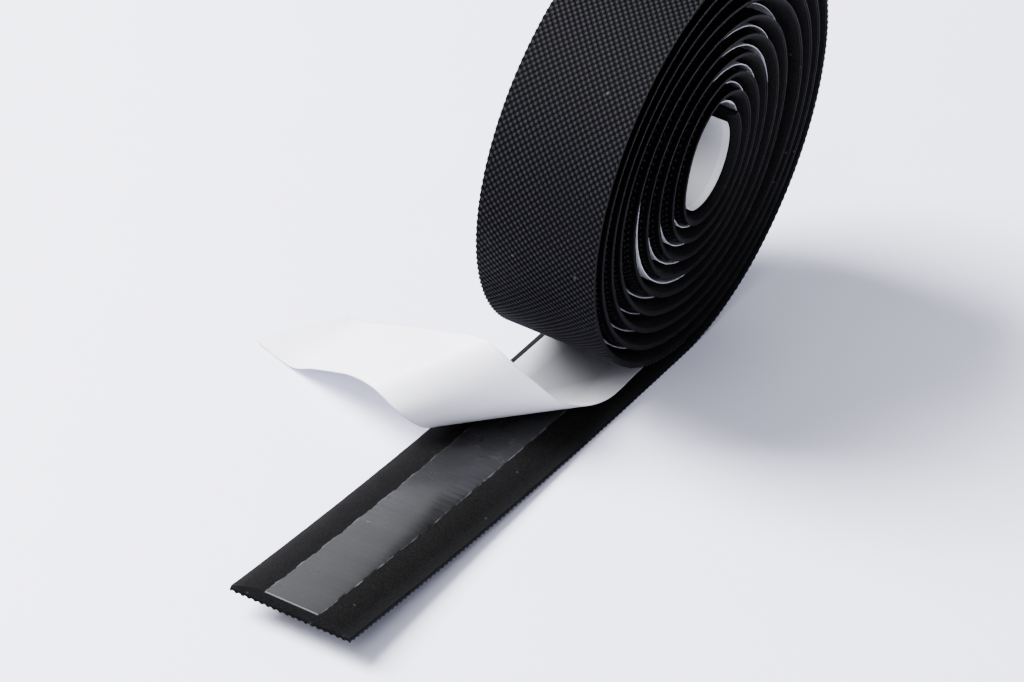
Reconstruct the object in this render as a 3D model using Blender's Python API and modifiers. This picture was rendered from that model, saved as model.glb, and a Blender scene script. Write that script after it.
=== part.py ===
"""Roll of padded grip tape, standing on its rim with the free end unrolled.

The tape is a laminate: an embossed skin, a foam pad bevelled towards both edges, a film of
adhesive along the middle and a release liner that is narrower than the tape. It is wound with
the skin outwards. The free end lies flat behind the nip, the liner is peeled off most of it,
folds back over itself on a slant and lies with its tip near the floor beside the tape.

Frame: origin under the roll on the floor, X along the tape (the free end points to -X),
Y across the tape, Z up. All sizes are in metres.
"""

import math

import bmesh
import bpy
from mathutils import Vector

# ---- the laminate ----------------------------------------------------------------------------
TAPE_WIDTH = 0.030
SKIN_THICKNESS = 0.0006
FOAM_THICKNESS = 0.0023          # along the flat middle
FOAM_EDGE_THICKNESS = 0.0004     # at both edges, where the bevels end
FOAM_FLAT_WIDTH = 0.015          # the part of the width that is not bevelled
ADHESIVE_WIDTH = 0.0135
ADHESIVE_THICKNESS = 0.00012
LINER_WIDTH = 0.0242
LINER_THICKNESS = 0.00015
BOND_GAP = 0.00005               # left between layers that are bonded or lie on each other

# ---- the winding -----------------------------------------------------------------------------
ROLL_RADIUS = 0.0564             # floor to the winding's first centre
ROLL_SQUASH = 0.948              # height of the roll over its length
CORE_RADIUS = 0.0140             # where the winding's inner end lies
TURN_GAP = 0.0012                # air between one turn and the next, where it is wound evenly
DRIFT_X = 0.15                   # how far each turn's centre moves to the back, in turn gaps
DRIFT_Z = -0.195                 # and how far it sags, in turn gaps
STEPS_PER_TURN = 24
FOOT_HOLLOW = 0.00006            # the foot stands on its two ends and is this hollow between
FRONT_BULGE_TURN = 0.72          # the part of each turn that bellies out at the front
BACK_BULGE_TURN = 0.22           # and at the back
BULGE_TURNS = 0.25               # how far a bulge reaches to either side, in turns
FRONT_BULGES = (0.08, 1.06, 1.42, 2.40, 1.07, 0.00, -0.70, -2.40, -3.27)  # in turn gaps
BACK_BULGES = (0.06, 0.65, 1.17, 1.34, -1.78, -1.26, -2.37, -1.91, -1.44)

# ---- the free end ----------------------------------------------------------------------------
TAIL_LENGTH = 0.1479             # from under the roll's centre to the cut end
TAIL_LIFT = 0.0059               # the cut end stands this far off the floor
LIFT_HINGE_X = -0.012            # where the free end starts to lift
CURL_HINGE_X = -0.084            # where its outer half curls up
JOINT_GAP = 0.0004               # between the two sides of a joint
TAIL_STEPS = 10

# ---- the peeled liner: points of its two edges, each pair joined by a straight line -----------
# (x, distance beyond the liner's own edge line, height above the tape that lifts below it)
NEAR_EDGE = (
    (-0.0154, 0.0000, 0.0000), (-0.0329, 0.0000, 0.0004), (-0.0481, 0.0021, 0.0068),
    (-0.0569, 0.0080, 0.0161), (-0.0586, 0.0183, 0.0222), (-0.0533, 0.0294, 0.0170),
    (-0.0474, 0.0418, 0.0101), (-0.0420, 0.0530, 0.0035), (-0.0378, 0.0610, -0.0012),
    (-0.0366, 0.0660, -0.0016),
)
FAR_EDGE = (
    (-0.0571, 0.0000, 0.0000), (-0.0645, 0.0001, 0.0003), (-0.0713, 0.0011, 0.0023),
    (-0.0768, 0.0043, 0.0075), (-0.0766, 0.0117, 0.0111), (-0.0731, 0.0193, 0.0094),
    (-0.0696, 0.0263, 0.0058), (-0.0663, 0.0333, 0.0019), (-0.0621, 0.0414, -0.0029),
    (-0.0580, 0.0531, -0.0030),
)
RIDGE = 4                        # the pair of points on the ridge, where the flap hinges
PEEL_STEPS = 4                   # steps from one pair of points to the next
SEAT_STEPS = 6                   # steps of the stretch that still lies on the tape
RIDGE_GAP = 0.02                 # share of a step left open on each side of the ridge

# ---- colours ---------------------------------------------------------------------------------
SKIN_COLOUR = (0.016, 0.016, 0.020, 1.0)
FOAM_COLOUR = (0.013, 0.013, 0.013, 1.0)
ADHESIVE_COLOUR = (0.045, 0.045, 0.048, 1.0)
LINER_COLOUR = (0.80, 0.80, 0.81, 1.0)

FOAM_BASE = SKIN_THICKNESS + BOND_GAP
ADHESIVE_BASE = FOAM_BASE + FOAM_THICKNESS + BOND_GAP
LINER_BASE = ADHESIVE_BASE + ADHESIVE_THICKNESS + BOND_GAP
STACK_HEIGHT = LINER_BASE + LINER_THICKNESS
PITCH = STACK_HEIGHT + TURN_GAP  # mean distance from one turn to the next
TURNS = (ROLL_RADIUS - CORE_RADIUS) / PITCH


# ---- the tape's path, in the XZ plane, along the skin's outer face -----------------------------
def tail_rise(x):
    """Height of the free end's underside above the floor: it curls up slightly."""
    start = LIFT_HINGE_X - 0.008
    if x > start:
        return 0.0
    share = (start - x) / (TAIL_LENGTH + start)
    return TAIL_LIFT * share * share


def bulge(turn, middle, sizes):
    """How far the winding bellies out here: one smooth bulge in every turn."""
    count = turn - middle
    away = abs(count - round(count)) / BULGE_TURNS
    if away > 1.0:
        return 0.0
    place = min(max(count, 0.0), len(sizes) - 1.0)
    before = int(min(place, len(sizes) - 2.0))
    share = place - before
    size = sizes[before] * (1.0 - share) + sizes[before + 1] * share
    return TURN_GAP * size * math.cos(0.5 * math.pi * away) ** 2


def winding_point(turn):
    """Point of the winding after this many turns from the roll's foot."""
    angle = 2.0 * math.pi * turn
    radius = ROLL_RADIUS - PITCH * turn
    radius += bulge(turn, FRONT_BULGE_TURN, FRONT_BULGES)
    radius += bulge(turn, BACK_BULGE_TURN, BACK_BULGES)
    foot_sagitta = ROLL_RADIUS * (1.0 - math.cos(math.pi / STEPS_PER_TURN))
    x = DRIFT_X * TURN_GAP * turn + radius * math.sin(angle)
    height = ROLL_RADIUS - foot_sagitta - radius * math.cos(angle)
    z = DRIFT_Z * TURN_GAP * turn + ROLL_SQUASH * height
    return x, z


def winding_points():
    """Stations of the winding. The first is half a step past the foot, so the foot is flat."""
    steps = int(TURNS * STEPS_PER_TURN)
    points = [winding_point((step + 0.5) / STEPS_PER_TURN) for step in range(steps)]
    first_x = points[0][0]
    return [(first_x, 0.0)] + points[1:]


def tail_points(start_x, end_x, steps):
    """Stations of a stretch of the free end, from start_x towards the roll."""
    xs = [start_x + (end_x - start_x) * step / steps for step in range(steps + 1)]
    return [(x, tail_rise(x)) for x in xs]


def path_of(stretch):
    """Stations of one stretch of tape: the roll, the free end's inner part, or its tip."""
    half = 0.5 * JOINT_GAP
    if stretch == "roll":
        start_x = LIFT_HINGE_X + half
        wound = winding_points()
        foot_middle = 0.5 * (start_x + wound[0][0])
        return [(start_x, 0.0), (foot_middle, FOOT_HOLLOW)] + wound
    if stretch == "free_end":
        return tail_points(CURL_HINGE_X + half, LIFT_HINGE_X - half, TAIL_STEPS)
    return tail_points(-TAIL_LENGTH, CURL_HINGE_X - half, TAIL_STEPS)


# ---- cross-sections, as (height above the skin's outer face, place across the width) -----------
def strip_section(base, thickness, width):
    half = 0.5 * width
    return [(base, -half), (base + thickness, -half), (base + thickness, half), (base, half)]


def foam_section():
    """The foam is flat along the middle and thins in a round bevel towards both edges."""
    half = 0.5 * TAPE_WIDTH
    flat = 0.5 * FOAM_FLAT_WIDTH
    side = []
    for share in (0.0, 0.36, 0.7, 1.0):
        drop = (FOAM_THICKNESS - FOAM_EDGE_THICKNESS) * (1.0 - math.cos(0.5 * math.pi * share))
        side.append((FOAM_BASE + FOAM_THICKNESS - drop, flat + (half - flat) * share))
    mirrored = [(height, -across) for height, across in reversed(side)]
    return [(FOAM_BASE, -half)] + mirrored + side + [(FOAM_BASE, half)]


# ---- scene helpers -----------------------------------------------------------------------------
def clear_scene():
    for item in list(bpy.data.objects):
        bpy.data.objects.remove(item, do_unlink=True)


def new_collection(name):
    collection = bpy.data.collections.new(name)
    bpy.context.scene.collection.children.link(collection)
    return collection


def new_material(name, colour, roughness, specular):
    material = bpy.data.materials.new(name)
    material.use_nodes = True
    shader = material.node_tree.nodes["Principled BSDF"]
    shader.inputs["Base Color"].default_value = colour
    shader.inputs["Roughness"].default_value = roughness
    shader.inputs["Metallic"].default_value = 0.0
    shader.inputs["Specular IOR Level"].default_value = specular
    material.diffuse_color = colour
    return material


def flat_curve(name, points, closed):
    """A 2D curve through the points with straight stretches."""
    data = bpy.data.curves.new(name, "CURVE")
    data.dimensions = "2D"
    data.fill_mode = "BOTH"
    spline = data.splines.new("POLY")
    spline.points.add(len(points) - 1)
    for target, (x, y) in zip(spline.points, points):
        target.co = (x, y, 0.0, 1.0)
    spline.use_cyclic_u = closed
    return data


def add_sweep(name, path, section, material, parts, guides):
    """A layer of tape: its cross-section swept along the path, which is stood up in XZ."""
    outline = flat_curve(name + "_section", [(-height, across) for height, across in section], True)
    outline.fill_mode = "NONE"
    guide = bpy.data.objects.new(name + "_section", outline)
    guide.display_type = "WIRE"
    guide.hide_render = True
    guides.objects.link(guide)
    data = flat_curve(name, path, False)
    data.bevel_mode = "OBJECT"
    data.bevel_object = guide
    data.use_fill_caps = True
    layer = bpy.data.objects.new(name, data)
    layer.rotation_euler.x = 0.5 * math.pi
    layer.data.materials.append(material)
    parts.objects.link(layer)
    return layer


def add_ribbon(name, right_edge, left_edge, material, parts):
    """A thin sheet between two edges, thickened upwards where it lies on the tape."""
    mesh = bpy.data.meshes.new(name)
    builder = bmesh.new()
    rights = [builder.verts.new(point) for point in right_edge]
    lefts = [builder.verts.new(point) for point in left_edge]
    for step in range(len(rights) - 1):
        builder.faces.new((rights[step], rights[step + 1], lefts[step + 1], lefts[step]))
    builder.to_mesh(mesh)
    builder.free()
    mesh.materials.append(material)
    ribbon = bpy.data.objects.new(name, mesh)
    thicken = ribbon.modifiers.new("paper", "SOLIDIFY")
    thicken.thickness = LINER_THICKNESS
    thicken.offset = -1.0
    parts.objects.link(ribbon)
    return ribbon


def add_hinge(name, place, parent, parts):
    """An empty on a joint's axis, which carries the pieces beyond the joint."""
    hinge = bpy.data.objects.new(name, None)
    hinge.empty_display_size = 0.01
    parts.objects.link(hinge)
    hinge.parent = parent
    hinge.location = place - world_place(parent)
    return hinge


def world_place(item):
    """World position of an unrotated empty or of nothing at all."""
    place = Vector((0.0, 0.0, 0.0))
    while item is not None:
        place += item.location
        item = item.parent
    return place


def hang_on(piece, hinge):
    """Parent a piece to a hinge without moving it."""
    piece.parent = hinge
    piece.location = -world_place(hinge)


# ---- the pieces --------------------------------------------------------------------------------
def build_layers(stretch, hinge, materials, parts, guides):
    """Skin, foam pad and adhesive film of one stretch of tape."""
    layers = (
        ("skin", strip_section(0.0, SKIN_THICKNESS, TAPE_WIDTH)),
        ("foam", foam_section()),
        ("adhesive", strip_section(ADHESIVE_BASE, ADHESIVE_THICKNESS, ADHESIVE_WIDTH)),
    )
    for layer, section in layers:
        name = layer + "_" + stretch
        piece = add_sweep(name, path_of(stretch), section, materials[layer], parts, guides)
        if hinge is not None:
            hang_on(piece, hinge)


def build_wound_liner(materials, parts, guides):
    """The stretch of liner that is still between the turns."""
    section = strip_section(LINER_BASE, LINER_THICKNESS, LINER_WIDTH)
    add_sweep("liner_roll", path_of("roll"), section, materials["liner"], parts, guides)


# ---- the peeled liner's surface ----------------------------------------------------------------
def edge_corners(points, side):
    """World points of one edge of the peeled liner. Side is -1 for the near edge, 1 for the far."""
    edge_y = side * 0.5 * LINER_WIDTH
    corners = []
    for x, beyond, height in points:
        corners.append(Vector((x, edge_y + beyond, LINER_BASE + tail_rise(x) + height)))
    return corners


def smooth_point(corners, place):
    """Point of a Catmull-Rom curve through the corners, at a place counted in corners."""
    last = len(corners) - 1
    index = min(int(place), last - 1)
    share = place - index
    here = corners[index]
    there = corners[index + 1]
    before = corners[index - 1] if index > 0 else here * 2.0 - there
    after = corners[index + 2] if index + 2 <= last else there * 2.0 - here
    linear = (there - before) * share
    square = (before * 2.0 - here * 5.0 + there * 4.0 - after) * share ** 2
    cubic = (here * 3.0 - before - there * 3.0 + after) * share ** 3
    return here + (linear + square + cubic) * 0.5


def peel_row(place):
    """Near and far point of the peeled liner, at a place counted in pairs of points."""
    near = smooth_point(edge_corners(NEAR_EDGE, -1.0), place)
    far = smooth_point(edge_corners(FAR_EDGE, 1.0), place)
    return near, far


def peel_rows(start, end, steps):
    return [peel_row(start + (end - start) * step / steps) for step in range(steps + 1)]


def seat_rows():
    """Rows of the liner that still lies on the free end, from the roll to the slanted fold."""
    start_x = LIFT_HINGE_X - 0.5 * JOINT_GAP
    near, far = peel_row(0.0)
    rows = []
    for step in range(SEAT_STEPS):
        share = step / SEAT_STEPS
        row = []
        for side, corner in ((-1.0, near), (1.0, far)):
            x = start_x + (corner.x - start_x) * share
            row.append(Vector((x, side * 0.5 * LINER_WIDTH, LINER_BASE + tail_rise(x))))
        rows.append(row)
    return rows


def build_peeled_liner(free_end, materials, parts):
    """The liner on the free end with its fold, and the flap that hinges on the fold's ridge."""
    fold_rows = seat_rows() + peel_rows(0.0, RIDGE - RIDGE_GAP, RIDGE * PEEL_STEPS)
    last = len(NEAR_EDGE) - 1
    flap_rows = peel_rows(RIDGE + RIDGE_GAP, last, (last - RIDGE) * PEEL_STEPS)
    ridge_near, ridge_far = peel_row(RIDGE)
    ridge_middle = (ridge_near + ridge_far) * 0.5
    flap_hinge = add_hinge("flap_hinge", ridge_middle, free_end, parts)
    for name, rows, hinge in (
        ("liner_fold", fold_rows, free_end),
        ("liner_flap", flap_rows, flap_hinge),
    ):
        near_edge = [row[0] for row in rows]
        far_edge = [row[1] for row in rows]
        ribbon = add_ribbon(name, near_edge, far_edge, materials["liner"], parts)
        hang_on(ribbon, hinge)


def main():
    clear_scene()
    parts = new_collection("grip_tape_roll")
    guides = new_collection("guides")
    guides.hide_render = True
    materials = {
        "skin": new_material("skin", SKIN_COLOUR, 0.55, 0.4),
        "foam": new_material("foam", FOAM_COLOUR, 0.9, 0.2),
        "adhesive": new_material("adhesive", ADHESIVE_COLOUR, 0.15, 0.5),
        "liner": new_material("liner", LINER_COLOUR, 0.35, 0.5),
    }
    lift_place = Vector((LIFT_HINGE_X, 0.0, STACK_HEIGHT))
    free_end = add_hinge("lift_hinge", lift_place, None, parts)
    curl_place = Vector((CURL_HINGE_X, 0.0, STACK_HEIGHT + tail_rise(CURL_HINGE_X)))
    curl_hinge = add_hinge("curl_hinge", curl_place, free_end, parts)
    build_layers("roll", None, materials, parts, guides)
    build_layers("free_end", free_end, materials, parts, guides)
    build_layers("tip", curl_hinge, materials, parts, guides)
    build_wound_liner(materials, parts, guides)
    build_peeled_liner(free_end, materials, parts)


main()
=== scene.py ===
"""Looks of a roll of padded grip tape: embossed skin, foam pad, adhesive film and release liner.

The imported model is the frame: the roll's winding, the free end, its tip and the liner's flap are
its bodies. Every layer is drawn flat, in tape coordinates, and is then laid along the tape's path:
a flat strip with a height above the skin's outer face becomes a turn of the roll or a stretch of
the free end. The peeled liner is a sheet that is straight between its two edges.
"""

import logging
import math
from dataclasses import dataclass, field
from enum import Enum
from typing import Callable, Dict, List, Optional, Sequence, Tuple

import bpy
import numpy as np
from mathutils import Matrix, Vector


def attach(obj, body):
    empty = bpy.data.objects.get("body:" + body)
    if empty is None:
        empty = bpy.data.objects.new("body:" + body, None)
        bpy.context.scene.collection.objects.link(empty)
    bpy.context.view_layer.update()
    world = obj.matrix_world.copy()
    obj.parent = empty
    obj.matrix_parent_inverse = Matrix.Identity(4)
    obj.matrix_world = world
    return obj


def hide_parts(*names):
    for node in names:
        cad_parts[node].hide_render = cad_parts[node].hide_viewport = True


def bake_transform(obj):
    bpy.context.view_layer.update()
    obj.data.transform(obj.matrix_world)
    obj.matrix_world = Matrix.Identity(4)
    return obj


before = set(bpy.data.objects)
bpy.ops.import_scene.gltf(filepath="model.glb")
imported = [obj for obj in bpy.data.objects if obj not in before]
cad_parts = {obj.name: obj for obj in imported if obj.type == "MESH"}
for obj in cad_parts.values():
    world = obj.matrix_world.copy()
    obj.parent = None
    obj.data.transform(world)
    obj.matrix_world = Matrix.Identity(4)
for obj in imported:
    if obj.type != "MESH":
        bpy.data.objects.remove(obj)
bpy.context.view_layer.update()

LOG = logging.getLogger("grip_tape_roll")

Corner = Tuple[float, float, float]
Corner2 = Tuple[float, float]
Colour = Tuple[float, float, float]
Shape = Callable[[np.ndarray, np.ndarray, np.ndarray], Tuple[np.ndarray, np.ndarray]]


class Body(Enum):
    """The CAD bodies that pieces ride on."""

    ROLL = "roll"
    FREE_END = "free_end"
    TIP = "tip"
    FLAP = "liner_flap"


class Layer(Enum):
    """The tape's layers, from the outside inwards, by their material slot."""

    SKIN = "skin"
    FOAM = "foam"
    ADHESIVE = "adhesive"
    LINER = "liner"


@dataclass(frozen=True)
class Laminate:
    """Thicknesses and widths of the layers, in metres."""

    tape_width: float = 0.030
    skin: float = 0.0006
    foam: float = 0.0023
    foam_edge: float = 0.0004
    foam_flat: float = 0.015
    adhesive_width: float = 0.0135
    adhesive: float = 0.00012
    liner_width: float = 0.0242
    liner: float = 0.00015
    bond_gap: float = 0.00005
    soften: float = 0.0001
    overlap: float = 0.00003
    foam_inset: float = 0.00012
    film_border: float = 0.0003

    @property
    def foam_base(self) -> float:
        """Height of the foam's lower face: it's sunk a little into the skin."""
        return self.skin - self.overlap

    @property
    def foam_top(self) -> float:
        """Height of the foam's flat middle."""
        return self.skin + self.bond_gap + self.foam

    @property
    def liner_base(self) -> float:
        """Height at which the liner lies on the adhesive."""
        return self.foam_top + 2.0 * self.bond_gap + self.adhesive

    def skin_section(self) -> List[Corner2]:
        """The skin's cross-section, a slab with softened edges."""
        half, thick, soft = 0.5 * self.tape_width, self.skin, self.soften
        return [
            (0.0, soft - half), (soft, -half), (thick - soft, -half), (thick, soft - half),
            (thick, half - soft), (thick - soft, half), (soft, half), (0.0, half - soft),
        ]

    def foam_section(self, points: int = 11) -> List[Corner2]:
        """The foam's cross-section: flat along the middle, rounded off towards both edges.

        Args:
            points: how many points each rounded side gets.

        Returns:
            Corners, as (height, across).
        """
        half, flat = 0.5 * self.tape_width - self.foam_inset, 0.5 * self.foam_flat
        share = np.linspace(0.0, 1.0, points)
        drop = (self.foam - self.foam_edge) * (1.0 - np.cos(0.5 * np.pi * share))
        heights = self.foam_top - drop
        across = flat + (half - flat) * share
        side = list(zip(heights.tolist(), across.tolist()))
        mirrored = [(height, -place) for height, place in reversed(side)]
        return [(self.foam_base, -half)] + mirrored + side + [(self.foam_base, half)]

    def adhesive_section(self) -> List[Corner2]:
        """The adhesive film's cross-section: its borders are drawn down."""
        half = 0.5 * self.adhesive_width
        inner = half - self.film_border
        base, thick = self.foam_top - self.overlap, self.adhesive + self.overlap
        return [
            (base, -half), (base + 0.5 * thick, -half), (base + thick, -inner),
            (base + thick, inner), (base + 0.5 * thick, half), (base, half),
        ]

    def liner_section(self) -> List[Corner2]:
        """The wound liner's cross-section."""
        half, base, top = 0.5 * self.liner_width, self.liner_base, self.liner_base + self.liner
        return [(base, -half), (top, -half), (top, half), (base, half)]


@dataclass(frozen=True)
class Winding:
    """The spiral that the tape is wound on, in metres and turns.

    Each turn has one smooth bulge at the front of the roll and one at the back, so that the gaps
    between turns are as uneven as in a roll that was wound by hand.
    """

    radius: float = 0.0564
    squash: float = 0.948
    core_radius: float = 0.0140
    turn_gap: float = 0.0012
    drift_x: float = 0.15
    drift_z: float = -0.195
    front_turn: float = 0.72
    back_turn: float = 0.22
    reach: float = 0.25
    front: Tuple[float, ...] = (0.08, 1.06, 1.42, 2.40, 1.07, 0.00, -0.70, -2.40, -3.27)
    back: Tuple[float, ...] = (0.06, 0.65, 1.17, 1.34, -1.78, -1.26, -2.37, -1.91, -1.44)
    stack: float = 0.00332

    @property
    def pitch(self) -> float:
        """Mean distance from one turn to the next."""
        return self.stack + self.turn_gap

    @property
    def turns(self) -> float:
        """Turns from the roll's foot to its inner end."""
        return (self.radius - self.core_radius) / self.pitch

    def bulge(self, turn: np.ndarray, middle: float, sizes: Sequence[float]) -> np.ndarray:
        """How far the winding bellies out.

        Args:
            turn: turns from the roll's foot.
            middle: the part of each turn that bellies out.
            sizes: one size for each turn, in turn gaps.

        Returns:
            The outward distance at each place.
        """
        count = turn - middle
        away = np.clip(np.abs(count - np.round(count)) / self.reach, 0.0, 1.0)
        size = np.interp(count, np.arange(len(sizes)), sizes)
        return self.turn_gap * size * np.cos(0.5 * np.pi * away) ** 2

    def point(self, turn: np.ndarray) -> Tuple[np.ndarray, np.ndarray]:
        """Points of the winding.

        Args:
            turn: turns from the roll's foot.

        Returns:
            The x and z places of the skin's outer face.
        """
        radius = self.radius - self.pitch * turn
        radius = radius + self.bulge(turn, self.front_turn, self.front)
        radius = radius + self.bulge(turn, self.back_turn, self.back)
        x = self.drift_x * self.turn_gap * turn + radius * np.sin(2.0 * np.pi * turn)
        height = self.radius - radius * np.cos(2.0 * np.pi * turn)
        z = self.drift_z * self.turn_gap * turn + self.squash * height
        return x, z


class TapePath:
    """The tape's line in the XZ plane, from the cut free end to the inner end of the roll."""

    tail_samples: int = 600
    turn_samples: int = 9000

    def __init__(self, winding: Winding, tail_length: float, tail_lift: float, lift_start: float):
        """Samples the line densely.

        Args:
            winding: the spiral part.
            tail_length: from under the roll's centre to the cut end.
            tail_lift: height of the cut end above the floor.
            lift_start: x where the free end starts to rise.
        """
        self.winding = winding
        self.tail_lift = tail_lift
        self.lift_start = lift_start
        self.tail_length = tail_length
        tail_x = np.linspace(-tail_length, 0.0, self.tail_samples, endpoint=False)
        turn = np.linspace(0.0, winding.turns, self.turn_samples)
        wound_x, wound_z = winding.point(turn)
        x = np.concatenate([tail_x, wound_x])
        z = np.concatenate([self.rise(tail_x), wound_z])
        steps = np.hypot(np.diff(x), np.diff(z))
        self.s = np.concatenate([[0.0], np.cumsum(steps)])
        self.x = x
        self.z = z
        along_x = np.gradient(x, self.s)
        along_z = np.gradient(z, self.s)
        size = np.hypot(along_x, along_z)
        self.normal_x = -along_z / size
        self.normal_z = along_x / size
        self.turn_s = (turn, self.s[len(tail_x):])

    def rise(self, x: np.ndarray) -> np.ndarray:
        """Height of the free end's underside above the floor."""
        share = np.clip((self.lift_start - x) / (self.tail_length + self.lift_start), 0.0, None)
        return self.tail_lift * share * share

    @property
    def length(self) -> float:
        """Whole length of tape along the skin."""
        return float(self.s[-1])

    def at_x(self, x: float) -> float:
        """Length along the tape at a place of the free end."""
        tail = slice(0, self.tail_samples)
        return float(np.interp(x, self.x[tail], self.s[tail]))

    def at_turn(self, turn: float) -> float:
        """Length along the tape after this many turns."""
        return float(np.interp(turn, self.turn_s[0], self.turn_s[1]))

    def stations(self, start: float, end: float, step_angle: float, step: float) -> np.ndarray:
        """Places along the tape, close enough together for its curvature.

        Args:
            start: first length.
            end: last length.
            step_angle: largest turn of the tape's direction from one to the next, in radians.
            step: largest distance from one to the next.

        Returns:
            Lengths along the tape, from start to end.
        """
        heading = np.unwrap(np.arctan2(self.normal_x, self.normal_z))
        effort = np.abs(np.gradient(heading, self.s)) / step_angle + 1.0 / step
        total = np.concatenate([[0.0], np.cumsum(0.5 * (effort[1:] + effort[:-1]) * np.diff(self.s))])
        first, last = np.interp([start, end], self.s, total)
        count = max(2, int(math.ceil(last - first)) + 1)
        return np.interp(np.linspace(first, last, count), total, self.s)

    def lay(self, s: np.ndarray, across: np.ndarray, height: np.ndarray) -> np.ndarray:
        """Takes flat tape coordinates to their place on the path.

        Args:
            s: length along the tape.
            across: place across the width.
            height: height above the skin's outer face.

        Returns:
            Points in the row frame, one row each.
        """
        x = np.interp(s, self.s, self.x) + height * np.interp(s, self.s, self.normal_x)
        z = np.interp(s, self.s, self.z) + height * np.interp(s, self.s, self.normal_z)
        return np.stack([x, across, z], axis=1)


# ---- meshes --------------------------------------------------------------------------------------
def make_object(
    name: str, points: np.ndarray, faces: Sequence[Sequence[int]], material: bpy.types.Material
) -> bpy.types.Object:
    """Makes a smooth mesh object at the origin.

    Args:
        name: the piece's name.
        points: its points in the row frame.
        faces: point numbers of each face, facing outwards.
        material: its finish.

    Returns:
        The new object.
    """
    mesh = bpy.data.meshes.new(name)
    mesh.from_pydata(points.tolist(), [], [list(map(int, face)) for face in faces])
    mesh.materials.append(material)
    mesh.update()
    piece = bpy.data.objects.new(name, mesh)
    bpy.context.scene.collection.objects.link(piece)
    return piece


def tube_faces(rings: int, around: int) -> List[Tuple[int, ...]]:
    """Outward faces of a closed tube.

    Args:
        rings: how many rings of points there are.
        around: points of each ring, listed clockwise as seen from beyond the last ring.

    Returns:
        The quads between the rings and a flat face at either end.
    """
    faces: List[Tuple[int, ...]] = []
    for ring in range(rings - 1):
        for place in range(around):
            beside = (place + 1) % around
            low, high = ring * around, (ring + 1) * around
            faces.append((low + place, high + place, high + beside, low + beside))
    faces.append(tuple(range(around)))
    faces.append(tuple((rings - 1) * around + place for place in reversed(range(around))))
    return faces


def smooth_sides(piece: bpy.types.Object, angle: float) -> None:
    """Shades a piece smooth except over its sharp edges.

    Args:
        piece: the piece.
        angle: an edge that bends more than this is sharp, in degrees.
    """
    piece.data.shade_smooth()
    piece.data.set_sharp_from_angle(angle=math.radians(angle))


def add_flat_coordinates(piece: bpy.types.Object, s: np.ndarray, across: np.ndarray) -> None:
    """Gives a piece a UV map of its flat tape coordinates, in metres.

    Args:
        piece: the piece.
        s: length along the tape, for each point.
        across: place across the width, for each point.
    """
    mesh = piece.data
    layer = mesh.uv_layers.new(name="tape")
    corner_point = np.zeros(len(mesh.loops), np.int32)
    mesh.loops.foreach_get("vertex_index", corner_point)
    values = np.stack([s[corner_point], across[corner_point]], axis=1)
    layer.data.foreach_set("uv", values.astype(np.float32).ravel())


@dataclass
class TapeLayer:
    """One layer of the tape: a cross-section that is laid along a stretch of the path."""

    path: TapePath
    section: Sequence[Corner2]
    step_angle: float = math.radians(3.0)
    step: float = 0.004
    shape: Optional[Shape] = None

    def build(self, name: str, start: float, end: float, material: bpy.types.Material) -> bpy.types.Object:
        """Builds the layer between two lengths along the tape.

        Args:
            name: the piece's name.
            start: first length along the tape.
            end: last length along the tape.
            material: its finish.

        Returns:
            The closed piece, with its flat coordinates as a UV map.
        """
        stations = self.path.stations(start, end, self.step_angle, self.step)
        height = np.array([point[0] for point in self.section])
        across = np.array([point[1] for point in self.section])
        s = np.repeat(stations, len(self.section))
        w = np.tile(across, len(stations))
        h = np.tile(height, len(stations))
        if self.shape is not None:
            w, h = self.shape(s, w, h)
        faces = tube_faces(len(stations), len(self.section))
        piece = make_object(name, self.path.lay(s, w, h), faces, material)
        smooth_sides(piece, 40.0)
        add_flat_coordinates(piece, s, w)
        return piece


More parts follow.
